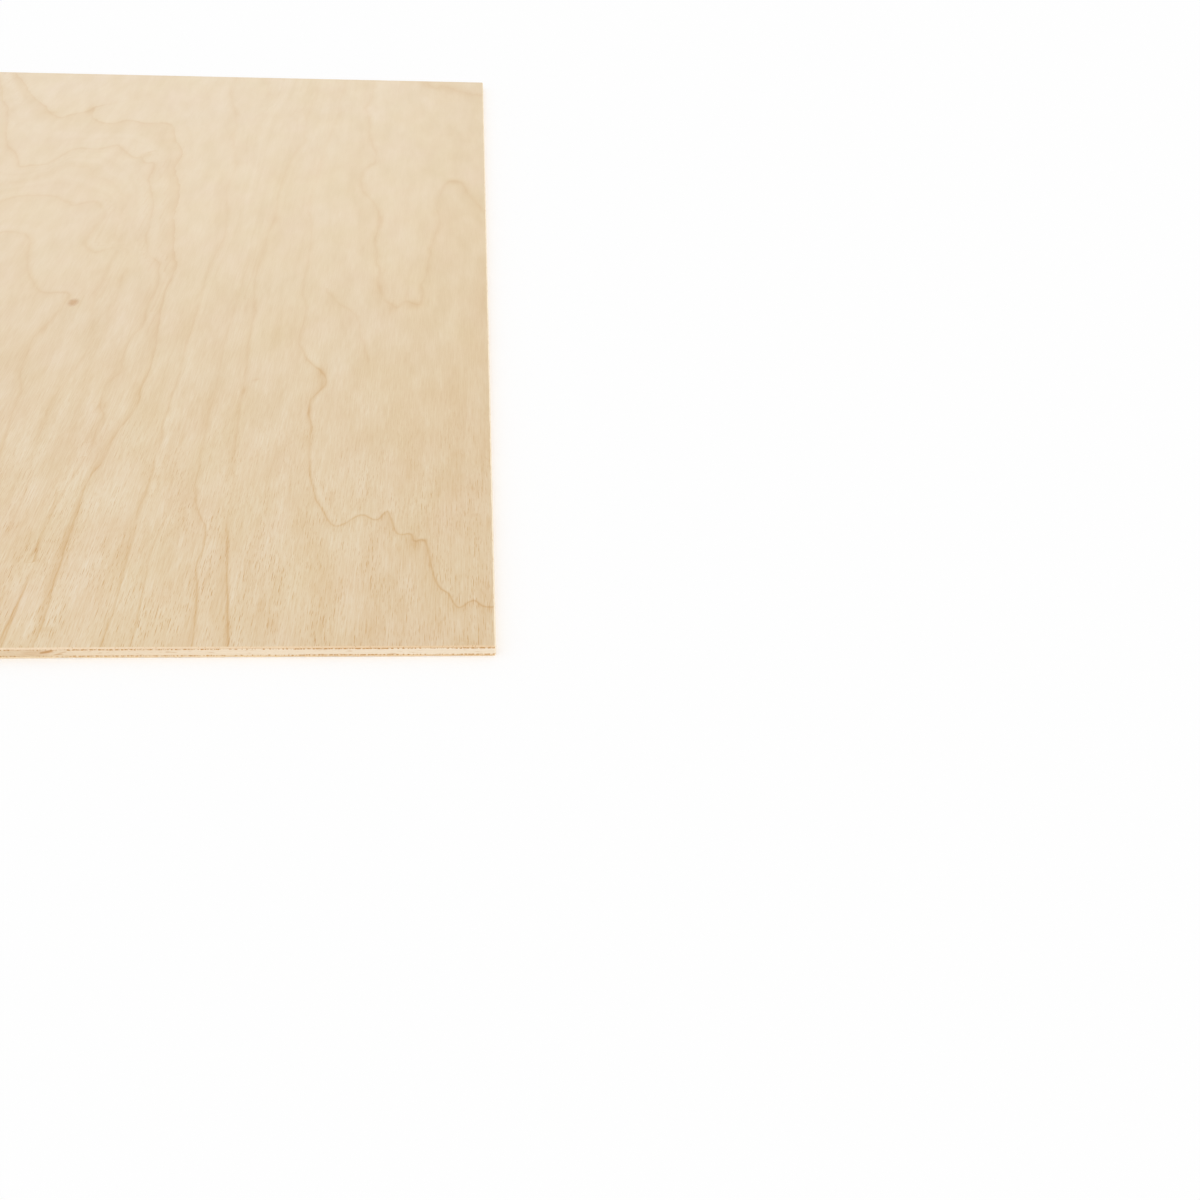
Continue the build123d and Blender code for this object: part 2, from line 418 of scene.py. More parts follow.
def ply_mesh(name, rings, upper_grid, lower_grid):
    """A closed ply. Each ring is its insets and heights round the outline, from the bottom up."""
    points, normals = outline()
    count = len(points)
    vertices, faces, numbers = [], [], []
    for inset, height in rings:
        inset = np.broadcast_to(inset, count)
        height = np.broadcast_to(height, count)
        numbers.append(list(range(len(vertices), len(vertices) + count)))
        flat = points - normals * inset[:, None]
        vertices.extend(zip(flat[:, 0], flat[:, 1], height))
    for lower, upper in zip(numbers, numbers[1:]):
        faces.extend(zip(lower, lower[1:] + lower[:1], upper[1:] + upper[:1], upper))
    sides = ((upper_grid, numbers[-1], True), (lower_grid, numbers[0], False))
    for (xs, ys, height), ring, upward in sides:
        quads, border = cap_grid(xs, ys, height, vertices)
        cap = quads + zipper(*from_start(ring, vertices), *from_start(border, vertices))
        faces.extend(cap if upward else [face[::-1] for face in cap])
    mesh = bpy.data.meshes.new(name)
    mesh.from_pydata((np.array(vertices) * MM).tolist(), [], faces)
    mesh.validate()
    mesh.update()
    return mesh


def spread(mesh, name, values):
    """Stores one number for each vertex, for the material to read."""
    mesh.attributes.new(name, "FLOAT", "POINT").data.foreach_set("value", values.astype(np.float32))


def piece_from(mesh, node, materials):
    """The object for a mesh, standing for a ply of the frame."""
    piece = bpy.data.objects.new(mesh.name, mesh)
    bpy.context.scene.collection.objects.link(piece)
    for material in materials:
        mesh.materials.append(material)
    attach(piece, "root")
    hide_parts(node)
    return piece


def grain_ends():
    """How much each outline point belongs to the front or rear, where the long grain is cut across."""
    return np.abs(outline()[1][:, 1])


def saw_marks(rng, count, long, short, depth):
    """How far the saw cut in: shallow waves of a long length, and short ones of a given depth."""
    return SAW_WAVE_MM * loop_noise(rng, count, long) + depth * loop_noise(rng, count, short)


def breaks(rng, count, wavelength, above):
    """Breaks in an edge, where the noise is above a value."""
    return np.clip(loop_noise(rng, count, wavelength) - above, 0, 1)


def plain_grid(height):
    """An even grid for a side that needs no detail of its own."""
    xs = np.linspace(-GRID_HALF_WIDTH_MM, GRID_HALF_WIDTH_MM, PLAIN_COLUMNS)
    ys = np.linspace(-GRID_HALF_LENGTH_MM, GRID_HALF_LENGTH_MM, PLAIN_ROWS)
    return xs, ys, height


# The grids stop a little inside the rings. The face's is fine enough for its figure, and closer at
# the front and the right, where the camera is near.
GRID_INSET_MM = 1.1
GRID_HALF_WIDTH_MM = HALF_WIDTH_MM - GRID_INSET_MM
GRID_HALF_LENGTH_MM = HALF_LENGTH_MM - GRID_INSET_MM
PLAIN_COLUMNS = 40
PLAIN_ROWS = 64
FACE_COLUMNS = 200
FACE_ROWS = 330
FACE_COLUMN_RATIO = 1.7
FACE_ROW_RATIO = 1.9

SAW_WAVE_MM = 0.03
ARRIS_WAVE_MM = 0.10
ARRIS_NICK_MM = 0.05

# The face's sanded arris, and how much wider it is on the long sides. At the ends it is chipped.
FACE_ARRIS_MM = 0.16
FACE_ARRIS_EXTRA_MM = 0.14
CHIP_MM = 0.5
ARRIS_START_MM = 0.42

# The rings of the core's wall, as shares of its thickness and how far each is set back.
CORE_RINGS = ((0, 0.03), (0.06, 0.0), (0.35, 0.0), (0.65, 0.0), (0.94, 0.0), (1, 0.03))
CORE_WANDER_MM = 0.025

# The back's fine arris, the splinters that the saw tore from it, and how much longer they are at
# the ends.
BACK_ARRIS_MM = 0.05
TORN_MM = 0.08
TORN_EXTRA_MM = 0.30


def make_face(materials):
    """The face veneer, with the figure's values stored on its vertices."""
    rng = np.random.default_rng(11)
    ends = grain_ends()
    count = len(ends)
    saw = saw_marks(rng, count, long=5, short=1.3, depth=0.03)
    chips = breaks(rng, count, 2.2, above=0.8) * CHIP_MM * ends
    arris = (FACE_ARRIS_MM + FACE_ARRIS_EXTRA_MM * (1 - ends)
             + ARRIS_WAVE_MM * loop_noise(rng, count, 3.0) + ARRIS_NICK_MM * loop_noise(rng, count, 0.9))
    rings = [
        (saw, UPPER_GLUE_MM),
        (saw * 0.6, TOP_MM - ARRIS_START_MM),
        (saw + chips * 0.4, TOP_MM - arris * 0.9),
        (saw + arris * 0.32 + chips, TOP_MM - arris * 0.33),
        (saw + arris + chips, TOP_MM),
    ]
    xs = -graded(GRID_HALF_WIDTH_MM, FACE_COLUMNS, FACE_COLUMN_RATIO)[::-1]
    ys = graded(GRID_HALF_LENGTH_MM, FACE_ROWS, FACE_ROW_RATIO)
    mesh = ply_mesh("face_ply", rings, (xs, ys, TOP_MM), plain_grid(UPPER_GLUE_MM))
    places = np.empty(len(mesh.vertices) * 3)
    mesh.vertices.foreach_get("co", places)
    places = places.reshape(-1, 3) / MM
    spots = np.column_stack([HALF_WIDTH_MM - places[:, 0], places[:, 1] + HALF_LENGTH_MM])
    figure = ("line_side", "line_away", "line_ink", "line_shade", "line_clear")
    for name, values in zip(figure, figure_at(spots)):
        spread(mesh, name, values)
    spread(mesh, "smudge", smudges_at(spots))
    spread(mesh, "ring", rings_at(ring_field(), spots))
    return piece_from(mesh, "face_veneer", materials)


def make_core(materials):
    """The core veneer, which stands a little proud of the thin plies in places."""
    rng = np.random.default_rng(12)
    count = len(outline()[0])
    saw = saw_marks(rng, count, long=6, short=1.5, depth=0.02)
    thickness = UPPER_GLUE_MM - LOWER_GLUE_MM
    rings = [(saw * 0.7 + CORE_WANDER_MM * loop_noise(rng, count, 1.1) + dip,
              LOWER_GLUE_MM + share * thickness) for share, dip in CORE_RINGS]
    mesh = ply_mesh("core_ply", rings, plain_grid(UPPER_GLUE_MM), plain_grid(LOWER_GLUE_MM))
    return piece_from(mesh, "core_veneer", materials)


def make_back(materials):
    """The back veneer, whose lower edge the saw tore into short splinters."""
    rng = np.random.default_rng(13)
    ends = grain_ends()
    count = len(ends)
    saw = saw_marks(rng, count, long=5, short=1.2, depth=0.04)
    torn = breaks(rng, count, 1.4, above=0.55) * (TORN_MM + TORN_EXTRA_MM * ends)
    arris = BACK_ARRIS_MM + ARRIS_NICK_MM * loop_noise(rng, count, 2.0)
    rings = [
        (saw + arris + torn, 0.0),
        (saw + arris * 0.3 + torn * 0.7, arris * 0.4 + torn * 0.35),
        (saw, arris + torn * 0.8),
        (saw * 0.6, LOWER_GLUE_MM),
    ]
    mesh = ply_mesh("back_ply", rings, plain_grid(LOWER_GLUE_MM), plain_grid(0.0))
    return piece_from(mesh, "back_veneer", materials)


# Materials


def srgb(red, green, blue):
    """A colour as the eye names it, from 0 to 255, turned into the linear one that a shader takes."""
    shares = [channel / 255 for channel in (red, green, blue)]
    return tuple(c / 12.92 if c <= 0.04045 else ((c + 0.055) / 1.055) ** 2.4 for c in shares) + (1.0,)


# The Mix node's colour sockets, by number because its other kinds share their names.
MIX_FIRST, MIX_SECOND, MIX_RESULT = 6, 7, 2


class Shader:
    """A material or a world, and short calls for the nodes that it is built from."""

    def __init__(self, name, kind="materials"):
        self.owner = getattr(bpy.data, kind).new(name)
        self.owner.use_nodes = True
        self.tree = self.owner.node_tree
        self.tree.nodes.clear()

    def feed(self, socket, value):
        """Links an output to a socket, or sets the socket to a plain value."""
        if isinstance(value, bpy.types.NodeSocket):
            self.tree.links.new(value, socket)
        else:
            socket.default_value = value

    def node(self, kind, *values, sockets=None, **settings):
        """A new node. The values feed its first sockets in turn, and others go by name or number."""
        made = self.tree.nodes.new("ShaderNode" + kind)
        for key, value in settings.items():
            setattr(made, key, value)
        for key, value in {**dict(enumerate(values)), **(sockets or {})}.items():
            self.feed(made.inputs[key], value)
        return made

    def locate(self):
        """Reads the place on the sheet in millimetres, whole and in its three parts."""
        metres = self.node("TexCoord").outputs["Object"]
        scaled = self.node("VectorMath", metres, operation="SCALE", sockets={"Scale": 1 / MM})
        self.place = scaled.outputs[0]
        self.across, self.along, self.up = self.node("SeparateXYZ", self.place).outputs

    def math(self, operation, *values, clamp=False):
        return self.node("Math", *values, operation=operation, use_clamp=clamp).outputs[0]

    def product(self, *values):
        return reduce(lambda made, value: self.math("MULTIPLY", made, value), values)

    def total(self, *values):
        return reduce(lambda made, value: self.math("ADD", made, value), values)

    def linear(self, value, slope, start, clamp=False):
        """The start plus the slope times the value, kept from 0 to 1 if clamped."""
        return self.math("MULTIPLY_ADD", value, slope, start, clamp=clamp)

    def between(self, value, low, high):
        """A smooth step from 0 at low to 1 at high."""
        return self.node("MapRange", value, low, high, interpolation_type="SMOOTHSTEP").outputs[0]

    def until(self, value, low, high):
        """A smooth step from 1 at low to 0 at high."""
        return self.math("SUBTRACT", 1.0, self.between(value, low, high))

    def stretched(self, vector, scales, offset=()):
        """The vector multiplied by its scales and moved. Those left out are zero."""
        scales, offset = ((*parts, 0, 0, 0)[:3] for parts in (scales, offset))
        return self.node("VectorMath", vector, scales, offset, operation="MULTIPLY_ADD").outputs[0]

    def length(self, vector):
        return self.node("VectorMath", vector, operation="LENGTH").outputs["Value"]

    def noise(self, scales, offset=(), detail=3.0, roughness=0.5, at=None):
        """Noise from 0 to 1, with its own grain size each way. It is over the sheet by default."""
        vector = self.stretched(at or self.place, scales, offset)
        sockets = dict(Vector=vector, Scale=1.0, Detail=detail, Roughness=roughness)
        return self.node("TexNoise", sockets=sockets).outputs["Fac"]

    def centred(self, scales, offset=(), **settings):
        """Noise about zero, from about -1 to 1."""
        return self.linear(self.noise(scales, offset, **settings), 4.0, -2.0)

    def attribute(self, name):
        return self.node("Attribute", attribute_name=name).outputs["Fac"]

    def blend(self, factor, first, second, mode="MIX"):
        sockets = {MIX_FIRST: first, MIX_SECOND: second}
        made = self.node("Mix", factor, data_type="RGBA", blend_type=mode, sockets=sockets)
        return made.outputs[MIX_RESULT]

    def stained(self, colour, depth, red_fall):
        """The colour darkened by a depth, green's natural logarithm. Red and blue have their own falls."""
        shares = [self.math("EXPONENT", self.product(depth, fall, -1.0))
                  for fall in (red_fall, 1.0, BLUE_FALL)]
        return self.blend(1.0, colour, self.node("CombineColor", *shares).outputs[0], "MULTIPLY")

    def tinted(self, colour, factor, tint):
        """The colour multiplied by a tint, as strongly as the factor says."""
        return self.blend(factor, colour, tint + (1.0,), "MULTIPLY")

    def swayed(self, colour, value, above, below, strength=1.0):
        """The colour with one tint where the value is above zero and another where it is below."""
        colour = self.tinted(colour, self.math("MULTIPLY", value, strength, clamp=True), above)
        return self.tinted(colour, self.math("MULTIPLY", value, -strength, clamp=True), below)

    def bump(self, height, strength, distance):
        sockets = dict(Height=height, Strength=strength, Distance=distance)
        return self.node("Bump", sockets=sockets).outputs["Normal"]

    def finish(self, colour, roughness, normal, specular, sheen=0.0):
        """The finished material."""
        surface = self.node("BsdfPrincipled", sockets={
            "Base Color": colour, "Roughness": roughness, "Normal": normal,
            "Specular IOR Level": specular, "Sheen Weight": sheen, "Sheen Roughness": SHEEN_ROUGHNESS})
        self.node("OutputMaterial", surface.outputs[0])
        return self.owner


SHEEN_ROUGHNESS = 0.35

# How fast red and blue fall as maple darkens, as multiples of green's fall. Lines are golden brown
# all over, and the fainter marks grow greyer to the rear.
LINE_RED_FALL = 0.46
RED_FALL_FRONT = 0.47
RED_FALL_REAR = 0.62
BLUE_FALL = 1.95

# How dark the face's marks are at their full strength, as depths. A pale mark's is below zero.
CLOUD_DEPTH = 0.15
RIM_DEPTH = 0.062
BAND_DEPTH = 0.06
STREAK_DEPTH = 0.07
FIBRE_DEPTH = 0.165
LINE_DEPTH = 0.36
PALE_SIDE_DEPTH = -0.05
FLECK_DEPTH = 0.55
SMUDGE_DEPTH = 0.36

# The bare face at the front right, what multiplies it towards the other sides, and its slow drifts.
FACE_COLOUR = srgb(231, 214, 187)
REAR_TINT = (1.041, 1.002, 0.936)
# The left's and the front left's tints are painted light: the face is made paler and cooler where more light
# falls.
PAINTED_LEFT_LIGHT = (1.01, 1.015, 1.05)
PAINTED_FRONT_LEFT_LIGHT = (1.05, 1.085, 1.13)
YELLOWER, BLUER = (1.0, 1.0, 0.965), (1.0, 1.0, 1.035)
PINKER, GREENER = (1.0, 0.984, 0.995), (0.99, 1.0, 0.99)
KNOT_TINT = (0.79, 0.61, 0.42)

# The front left's painted light is whole at one distance from the right edge and gone at another, and ends
# this far from the front edge. The right rim sets in between two distances from there, and flecks end at
# one. The rear is whole from this share of the half length, behind the middle.
FRONT_LEFT_MM = (110, 5)
FRONT_DEPTH_MM = 230
RIM_WIDTH_MM = 45
RIM_START_MM = (40, 150)
FLECKS_END_MM = 190
REAR_SHARE = 0.4


def flecks(s, cell, half, seed, keep):
    """Short dashes along the grain, about one to a cell, as a mask from 0 to 1."""
    scaled = s.stretched(s.place, (1 / cell[0], 1 / cell[1]), seed)
    cells = s.node("TexVoronoi", voronoi_dimensions="2D", feature="F1",
                   sockets=dict(Vector=scaled, Scale=1.0))
    gap = s.node("VectorMath", cells.outputs["Position"], scaled, operation="SUBTRACT").outputs[0]
    reach = s.length(s.stretched(gap, (cell[0] / half[0], cell[1] / half[1])))
    body = s.math("SUBTRACT", 1.0, reach, clamp=True)
    chance = s.node("SeparateColor", cells.outputs["Color"]).outputs[0]
    return s.product(s.between(body, 0.0, 0.6), s.between(chance, 1 - keep, 1.0))


def ground_colour(s, rear, ring):
    """The bare wood: warmer to the rear, with painted light that makes it cooler and paler to the left and
    palest at the front left.
    """
    # Painted light: the left and the front left are tinted paler, as if more light falls there.
    left = s.until(ring, -1.0, 9.0)
    beside = s.until(s.across, *(HALF_WIDTH_MM - inset for inset in FRONT_LEFT_MM))
    near = s.until(s.along, -HALF_LENGTH_MM, FRONT_DEPTH_MM - HALF_LENGTH_MM)
    colour = s.tinted(FACE_COLOUR, rear, REAR_TINT)
    colour = s.tinted(colour, left, PAINTED_LEFT_LIGHT)
    colour = s.tinted(colour, s.product(beside, near), PAINTED_FRONT_LEFT_LIGHT)
    drift = s.centred((0.05, 0.02), (3.1, 7.7))
    colour = s.swayed(colour, s.product(drift, s.linear(rear, 0.5, 0.5)), YELLOWER, BLUER)
    blush = s.centred((0.07, 0.03), (6.1, 3.2))
    return s.swayed(colour, blush, PINKER, GREENER)


def ground_marks(s, rear, band, strand):
    """Clouds, a darker right rim, faint bands that follow the rings, long streaks and fibre."""
    cloud = s.centred((0.15, 0.035), (4.3, 8.7), detail=2.0)
    clouds = s.product(s.linear(cloud, 0.6, 0.45, clamp=True), s.linear(rear, -0.25, 0.85), CLOUD_DEPTH)
    outwards = s.between(s.across, HALF_WIDTH_MM - RIM_WIDTH_MM, HALF_WIDTH_MM)
    backwards = s.between(s.along, *(start - HALF_LENGTH_MM for start in RIM_START_MM))
    rim = s.product(outwards, backwards, RIM_DEPTH)
    bands = s.product(s.linear(band, 0.5, 0.4, clamp=True), BAND_DEPTH)
    coarseness = s.linear(rear, -0.88, 1.12)
    streak = s.centred((0.65, 0.014), (5.0, 2.0), roughness=0.6)
    streaks = s.product(s.linear(streak, 0.55, 0.45, clamp=True), coarseness, STREAK_DEPTH)
    fibre = s.product(s.linear(strand, 0.8, 0.45, clamp=True), coarseness, FIBRE_DEPTH)
    return s.total(clouds, rim, bands, streaks, fibre)


def growth_line_marks(s):
    """Growth lines: a thin line that wavers a little, a shade on its inner side and a pale outer side."""
    waver = s.product(s.centred((0.5, 0.16)), 0.4)
    side = s.total(s.attribute("line_side"), waver)
    # Where the nearest line changes, the signed distance jumps through zero, so the plain one holds.
    away = s.math("MAXIMUM", s.math("ABSOLUTE", side), s.math("SUBTRACT", s.attribute("line_away"), 3.0))
    outer = s.math("GREATER_THAN", side, 0.0)
    inner = s.math("SUBTRACT", 1.0, outer)
    clear = s.attribute("line_clear")
    broken = s.between(s.noise((0.2, 0.05), (2, 9, 4)), 0.25, 0.6)
    ink = s.product(s.attribute("line_ink"), s.linear(broken, 0.6, 0.5))
    sharp = s.math("EXPONENT", s.product(away, away, -1.2))
    skirt = s.math("EXPONENT", s.product(away, -0.8))
    line = s.product(s.linear(sharp, 0.65, s.product(skirt, 0.35)), ink, LINE_DEPTH)
    fading = s.math("EXPONENT", s.product(away, -0.25))
    lingering = s.product(inner, fading, clear, s.attribute("line_shade"), ink, LINE_DEPTH)
    crest = s.math("SUBTRACT", away, 3.5)
    hump = s.math("EXPONENT", s.product(crest, crest, -0.22))
    pale = s.product(hump, clear, outer, ink, PALE_SIDE_DEPTH)
    return s.total(line, lingering, pale)


def fleck_marks(s, coarse):
    """Flecks in clumps, where the veneer was cut across the fine vessels, most of all at the front."""
    clumps = s.between(s.noise((0.16, 0.04), (1, 5, 2)), 0.3, 0.7)
    ahead = s.until(s.along, -HALF_LENGTH_MM, FLECKS_END_MM - HALF_LENGTH_MM)
    fine = flecks(s, (0.55, 3.2), (0.09, 1.4), (4.3, 2.7), 0.9)
    return s.product(s.linear(fine, 0.8, coarse), s.product(s.linear(clumps, 1.1, 0.15), ahead, FLECK_DEPTH))


def pin_knot(s, colour):
    """The pin knot, a small ragged oval."""
    x, y = HALF_WIDTH_MM - PIN_KNOT_MM[0], PIN_KNOT_MM[1] - HALF_LENGTH_MM
    half_x, half_y = PIN_KNOT_HALF_MM
    reach = s.length(s.stretched(s.place, (1 / half_x, 1 / half_y), (-x / half_x, -y / half_y)))
    edge = s.linear(s.centred((1.2, 0.5), detail=2.0), 0.2, reach)
    return s.tinted(colour, s.until(edge, 0.3, 1.5), KNOT_TINT)


def face_material():
    """Sanded maple: growth lines, faint bands, fibre, flecks, smudges and a pin knot."""
    s = Shader("maple_face_grain")
    s.locate()
    ring = s.attribute("ring")
    rear = s.between(s.along, -HALF_LENGTH_MM, REAR_SHARE * HALF_LENGTH_MM)
    along_ring = s.node("CombineXYZ", ring, s.product(s.along, 0.004)).outputs[0]
    band = s.centred((3.2, 1.0, 1.0), (0.4, 0.2), at=along_ring)
    strand = s.centred((2.9, 0.10), (1.7, 6.0), roughness=0.7)
    coarse = flecks(s, (1.2, 6.5), (0.11, 2.8), (0.3, 0.7), 0.8)
    smudges = s.product(s.attribute("smudge"), SMUDGE_DEPTH)

    red_fall = s.linear(rear, RED_FALL_REAR - RED_FALL_FRONT, RED_FALL_FRONT)
    colour = s.stained(ground_colour(s, rear, ring), ground_marks(s, rear, band, strand), red_fall)
    marks = s.total(growth_line_marks(s), fleck_marks(s, coarse), smudges)
    colour = pin_knot(s, s.stained(colour, marks, LINE_RED_FALL))
    relief = s.linear(strand, 0.5, s.product(coarse, -0.8))
    return s.finish(colour, s.linear(band, 0.02, 0.40), s.bump(relief, 0.25, 0.00003), 0.5, sheen=0.35)


# What multiplies a sawn wall's colour in its grain, its rough patches, its pores and its glue.
WALL_GRAIN_TINT = (0.93, 0.89, 0.83)
WALL_DARKER, WALL_PALER = (0.94, 0.90, 0.84), (1.03, 1.05, 1.07)
PORE_TINT = (0.76, 0.60, 0.42)
GLUE_TINT = (0.63, 0.35, 0.07)


def sawn_wood(s, colour, along, across):
    """Sawn wood on a ply's wall: grain, rough patches and pores."""
    grain = s.centred(along, (2.2, 8.1, 1.4), detail=4.0, roughness=0.65)
    colour = s.tinted(colour, s.linear(grain, 0.5, 0.35, clamp=True), WALL_GRAIN_TINT)
    rough = s.centred((1.7, 1.7, 3.4), (6.6, 2.9, 7.3), roughness=0.7)
    colour = s.swayed(colour, rough, WALL_DARKER, WALL_PALER, 0.5)
    pores = s.between(s.noise(across, (7.2, 3.3, 5.4), detail=2.0), 0.60, 0.72)
    return s.tinted(colour, s.product(pores, 0.9), PORE_TINT)


def glued(s, colour, glue_lines):
    """The colour with dashed lines of glue, each given by its height, half thickness and strength."""
    waver = s.product(s.centred((0.7, 0.7)), 0.08)
    level = s.total(s.up, waver)
    clumps = s.between(s.noise((0.06, 0.06), (3.0, 1.0, 2.0), detail=2.0), 0.3, 0.6)
    for height, thickness, strength in glue_lines:
        away = s.math("ABSOLUTE", s.math("SUBTRACT", level, height))
        film = s.until(away, thickness * 0.4, thickness)
        broken = s.noise((1.5, 1.5), (height, 4.0, 1.0), detail=4.0, roughness=0.65)
        dashes = s.between(s.linear(clumps, 0.08, broken), 0.49, 0.62)
        colour = s.tinted(colour, s.product(dashes, strength, film), GLUE_TINT)
    return colour


# Brown slivers that the saw laid open in the core's front wall. Each is its middle, across and up,
# its half length and half height, its slope and how brown it is.
SLIVERS_MM = (
    (45.6, 1.87, 1.9, 0.34, 0.2, 1.0),
    (48.7, 1.42, 1.7, 0.24, 0.33, 0.55),
    (43.5, 1.60, 4.2, 0.80, 0.08, 0.35),
)
SLIVER_TINT = (0.78, 0.60, 0.42)

# The core's front wall is tan left of them, which fades out between two places across the sheet.
TAN_TINT = (0.90, 0.855, 0.785)
TAN_ENDS_MM = (38.0, 56.0)


def slivers(s, colour):
    """The brown slivers, and the tan wood beside them."""
    front = s.math("LESS_THAN", s.along, 1 - HALF_LENGTH_MM)
    colour = s.tinted(colour, s.product(s.until(s.across, *TAN_ENDS_MM), front), TAN_TINT)
    ragged = s.product(s.centred((0.9, 0.9, 4.0)), 0.5)
    for middle, height, half_length, half_height, slope, strength in SLIVERS_MM:
        x = s.product(s.math("SUBTRACT", s.across, middle), 1 / half_length)
        z = s.product(s.math("SUBTRACT", s.up, height), 1 / half_height)
        z = s.linear(x, -slope * half_length / half_height, z)
        reach = s.total(s.product(x, x), s.product(z, z), ragged)
        colour = s.tinted(colour, s.product(s.until(reach, 0.1, 1.4), front, strength), SLIVER_TINT)
    return colour


# The walls' colours change along the front, from these places across the sheet.
WALL_MIDDLE_MM = 45.0
WALL_RIGHT_MM = 145.0


def wall_material(name, colours, along, across, glue_lines, extra=None):
    """A ply's sawn wall. Its colours are those near the sheet's middle and at its right."""
    s = Shader(name)
    s.locate()
    colour = s.blend(s.between(s.across, WALL_MIDDLE_MM, WALL_RIGHT_MM), *colours)
    colour = glued(s, sawn_wood(s, colour, along, across), glue_lines)
    if extra:
        colour = extra(s, colour)
    relief = s.noise((3.0, 3.0, 3.0))
    return s.finish(colour, 0.62, s.bump(relief, 0.3, 0.00004), 0.35)


# The underside, and what multiplies it in its drifts, its growth lines, its fibre and its flecks.
BACK_COLOUR = srgb(219, 192, 155)
BACK_DRIFT_TINT = (0.96, 0.93, 0.89)
BACK_LINE_TINT = (0.86, 0.70, 0.50)
BACK_FIBRE_TINT = (0.95, 0.925, 0.89)
BACK_FLECK_TINT = (0.78, 0.66, 0.50)


def back_material():
    """The plain underside: maple with straight grain."""
    s = Shader("maple_back_grain")
    s.locate()
    drift = s.centred((0.02, 0.008), (13.1, 2.7), detail=1.5)
    colour = s.tinted(BACK_COLOUR, s.linear(drift, 0.5, 0.5, clamp=True), BACK_DRIFT_TINT)
    warp = s.product(s.centred((0.012, 0.004), (1.3, 4.1), detail=2.0), 9.0)
    ring = s.linear(s.across, 0.075, s.product(warp, 0.22))
    line = s.math("POWER", s.math("FRACT", ring), 9.0)
    colour = s.tinted(colour, s.product(line, 0.5), BACK_LINE_TINT)
    fibre = s.centred((0.9, 0.022), (8.0, 3.0), detail=4.0, roughness=0.6)
    colour = s.tinted(colour, s.linear(fibre, 0.5, 0.45, clamp=True), BACK_FIBRE_TINT)
    coarse = flecks(s, (1.5, 5.5), (0.17, 1.6), (7.3, 1.7), 0.75)
    colour = s.tinted(colour, s.product(coarse, 0.6), BACK_FLECK_TINT)
    return s.finish(colour, 0.52, s.bump(fibre, 0.25, 0.00003), 0.4)


# Build the sheet
#
# The walls' grain and pores are noise, with these many features a millimetre across, along and up.

LENGTHWISE, END_PORES = (3.0, 0.05, 3.0), (2.6, 0.3, 2.6)
CROSSWISE, SIDE_PORES = (0.05, 3.0, 3.0), (0.3, 2.6, 2.6)
GLUE_FILM_MM = 0.23
UPPER_GLUE = (UPPER_GLUE_MM, GLUE_FILM_MM, 0.95)
LOWER_GLUE = (LOWER_GLUE_MM, GLUE_FILM_MM, 0.85)

face_edge = wall_material("maple_edge_upper", (srgb(237, 215, 185), srgb(230, 202, 165)),
                          LENGTHWISE, END_PORES, (UPPER_GLUE,))
core_edge = wall_material("core_edge", (srgb(239, 220, 192), srgb(244, 229, 206)),
                          CROSSWISE, SIDE_PORES, (UPPER_GLUE, LOWER_GLUE), slivers)
back_edge = wall_material("maple_edge_lower", (srgb(243, 223, 190), srgb(238, 212, 174)),
                          LENGTHWISE, END_PORES, (LOWER_GLUE,))
# The worn arrises and upright corners are paler sanded wood, and their near-white colour is also a painted
# highlight where they catch the lamp.
worn_arris_and_highlight = wall_material("maple_worn_arris", (srgb(251, 238, 214),) * 2, LENGTHWISE, END_PORES, ())

face = make_face([face_material(), face_edge, worn_arris_and_highlight])
core = make_core([core_edge, worn_arris_and_highlight])
back = make_back([back_material(), back_edge, worn_arris_and_highlight])

# A polygon is flat, faces sideways or along, or slopes up from these parts of its normal.
FLAT = 0.98
SIDEWAYS = 0.3
SLOPING_UP = 0.2


def lay_materials(ply, flat, wall, worn_and_highlight):
    """Numbers the materials of a ply's flat sides, its sawn wall and its worn arrises and corners, whose
    paler colour is also a painted highlight.
    """
    for polygon in ply.data.polygons:
        polygon.use_smooth = False
        x, y, z = (abs(part) for part in polygon.normal)
        if z > FLAT:
            polygon.material_index = flat
        elif x > SIDEWAYS and (polygon.normal.z > SLOPING_UP or y > SIDEWAYS):
            polygon.material_index = worn_and_highlight
        else:
            polygon.material_index = wall


lay_materials(face, 0, 1, 2)
lay_materials(core, 0, 0, 1)
lay_materials(back, 0, 1, 2)


# Floor, light and camera

FLOOR_HALF_M = 6.0
FLOOR_COLOUR = (0.80, 0.80, 0.80, 1.0)
WHITE = (1.0, 1.0, 1.0, 1.0)


def make_floor():
    """A wide pale floor, white to the camera, that keeps the sheet's shadow."""
    mesh = bpy.data.meshes.new("floor")
    corners = ((-1, -1), (1, -1), (1, 1), (-1, 1))
    mesh.from_pydata([(x * FLOOR_HALF_M, y * FLOOR_HALF_M, 0) for x, y in corners], [], [(0, 1, 2, 3)])
    floor = bpy.data.objects.new("floor", mesh)
    bpy.context.scene.collection.objects.link(floor)
    s = Shader("pale_floor")
    rays = s.node("LightPath").outputs
    mirrored = s.math("MAXIMUM", rays["Is Glossy Ray"], rays["Is Transmission Ray"])
    seen = s.math("MAXIMUM", rays["Is Camera Ray"], mirrored)
    surface = s.node("BsdfDiffuse", s.blend(seen, FLOOR_COLOUR, WHITE))
    s.node("OutputMaterial", surface.outputs[0])
    mesh.materials.append(s.owner)


SKY_LIGHT = 0.80
KEY_LIGHT = 1.0
KEY_SOFTNESS_DEG = 50
TOWARDS_KEY = (0.55, -0.90, 0.80)


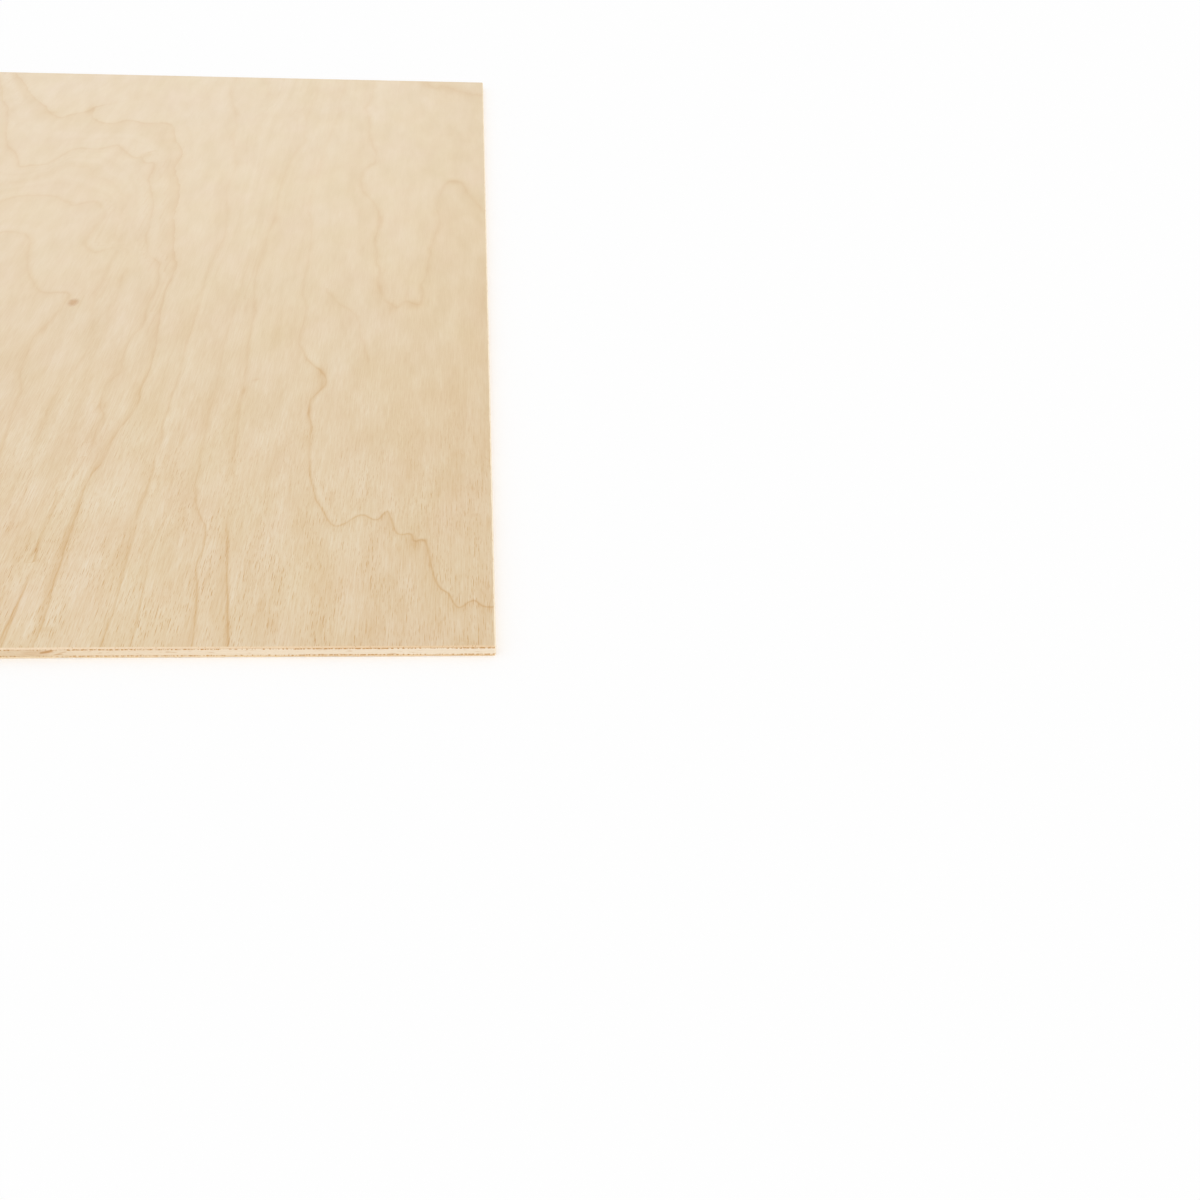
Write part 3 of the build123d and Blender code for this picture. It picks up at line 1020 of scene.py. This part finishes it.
def make_light():
    """An even sky, white where it is seen, and one soft lamp from the front right."""
    s = Shader("studio", "worlds")
    bpy.context.scene.world = s.owner
    rays = s.node("LightPath").outputs
    seen = s.math("MAXIMUM", rays["Is Camera Ray"], rays["Is Glossy Ray"])
    background = s.node("Background", WHITE, s.linear(seen, 1.0 - SKY_LIGHT, SKY_LIGHT))
    s.node("OutputWorld", background.outputs[0])

    lamp = bpy.data.lights.new("key", "SUN")
    lamp.energy = KEY_LIGHT
    lamp.angle = math.radians(KEY_SOFTNESS_DEG)
    key = bpy.data.objects.new("key", lamp)
    bpy.context.scene.collection.objects.link(key)
    key.rotation_euler = Vector(TOWARDS_KEY).to_track_quat("Z", "Y").to_euler()


# The photograph's camera, worked out from the sheet's edges: its place from the sheet's front right
# upper corner, its tilt below level, its turn to the right, its roll, and its focal length in pixels.
CAMERA_FROM_CORNER_MM = (-5.4, -326.8, 221.4)
CAMERA_TILT_DEG = 32.4
CAMERA_TURN_DEG = 5.27
CAMERA_ROLL_DEG = 2.67
FOCAL_PIXELS = 1623
IMAGE_PIXELS = 1200
SENSOR_MM = 36


def make_camera():
    """The camera at the photograph's place and angle."""
    data = bpy.data.cameras.new("camera")
    data.sensor_fit = "HORIZONTAL"
    data.sensor_width = SENSOR_MM
    data.lens = FOCAL_PIXELS / IMAGE_PIXELS * SENSOR_MM
    data.clip_start = 0.01
    data.clip_end = 50
    camera = bpy.data.objects.new("camera", data)
    bpy.context.scene.collection.objects.link(camera)
    tilt, turn, roll = (math.radians(a) for a in (CAMERA_TILT_DEG, CAMERA_TURN_DEG, CAMERA_ROLL_DEG))
    forward = Vector((math.sin(turn) * math.cos(tilt), math.cos(turn) * math.cos(tilt), -math.sin(tilt)))
    level = Vector((math.cos(turn), -math.sin(turn), 0))
    upright = level.cross(forward)
    right = math.cos(roll) * level + math.sin(roll) * upright
    up = math.cos(roll) * upright - math.sin(roll) * level
    corner = Vector((FACE_HIGH[0], FACE_LOW[1], FACE_HIGH[2]))
    place = corner + Vector(CAMERA_FROM_CORNER_MM) * MM
    camera.matrix_world = Matrix.Translation(place) @ Matrix((right, up, -forward)).transposed().to_4x4()
    bpy.context.scene.camera = camera


make_floor()
make_light()
make_camera()
bpy.context.scene.view_settings.view_transform = "Standard"
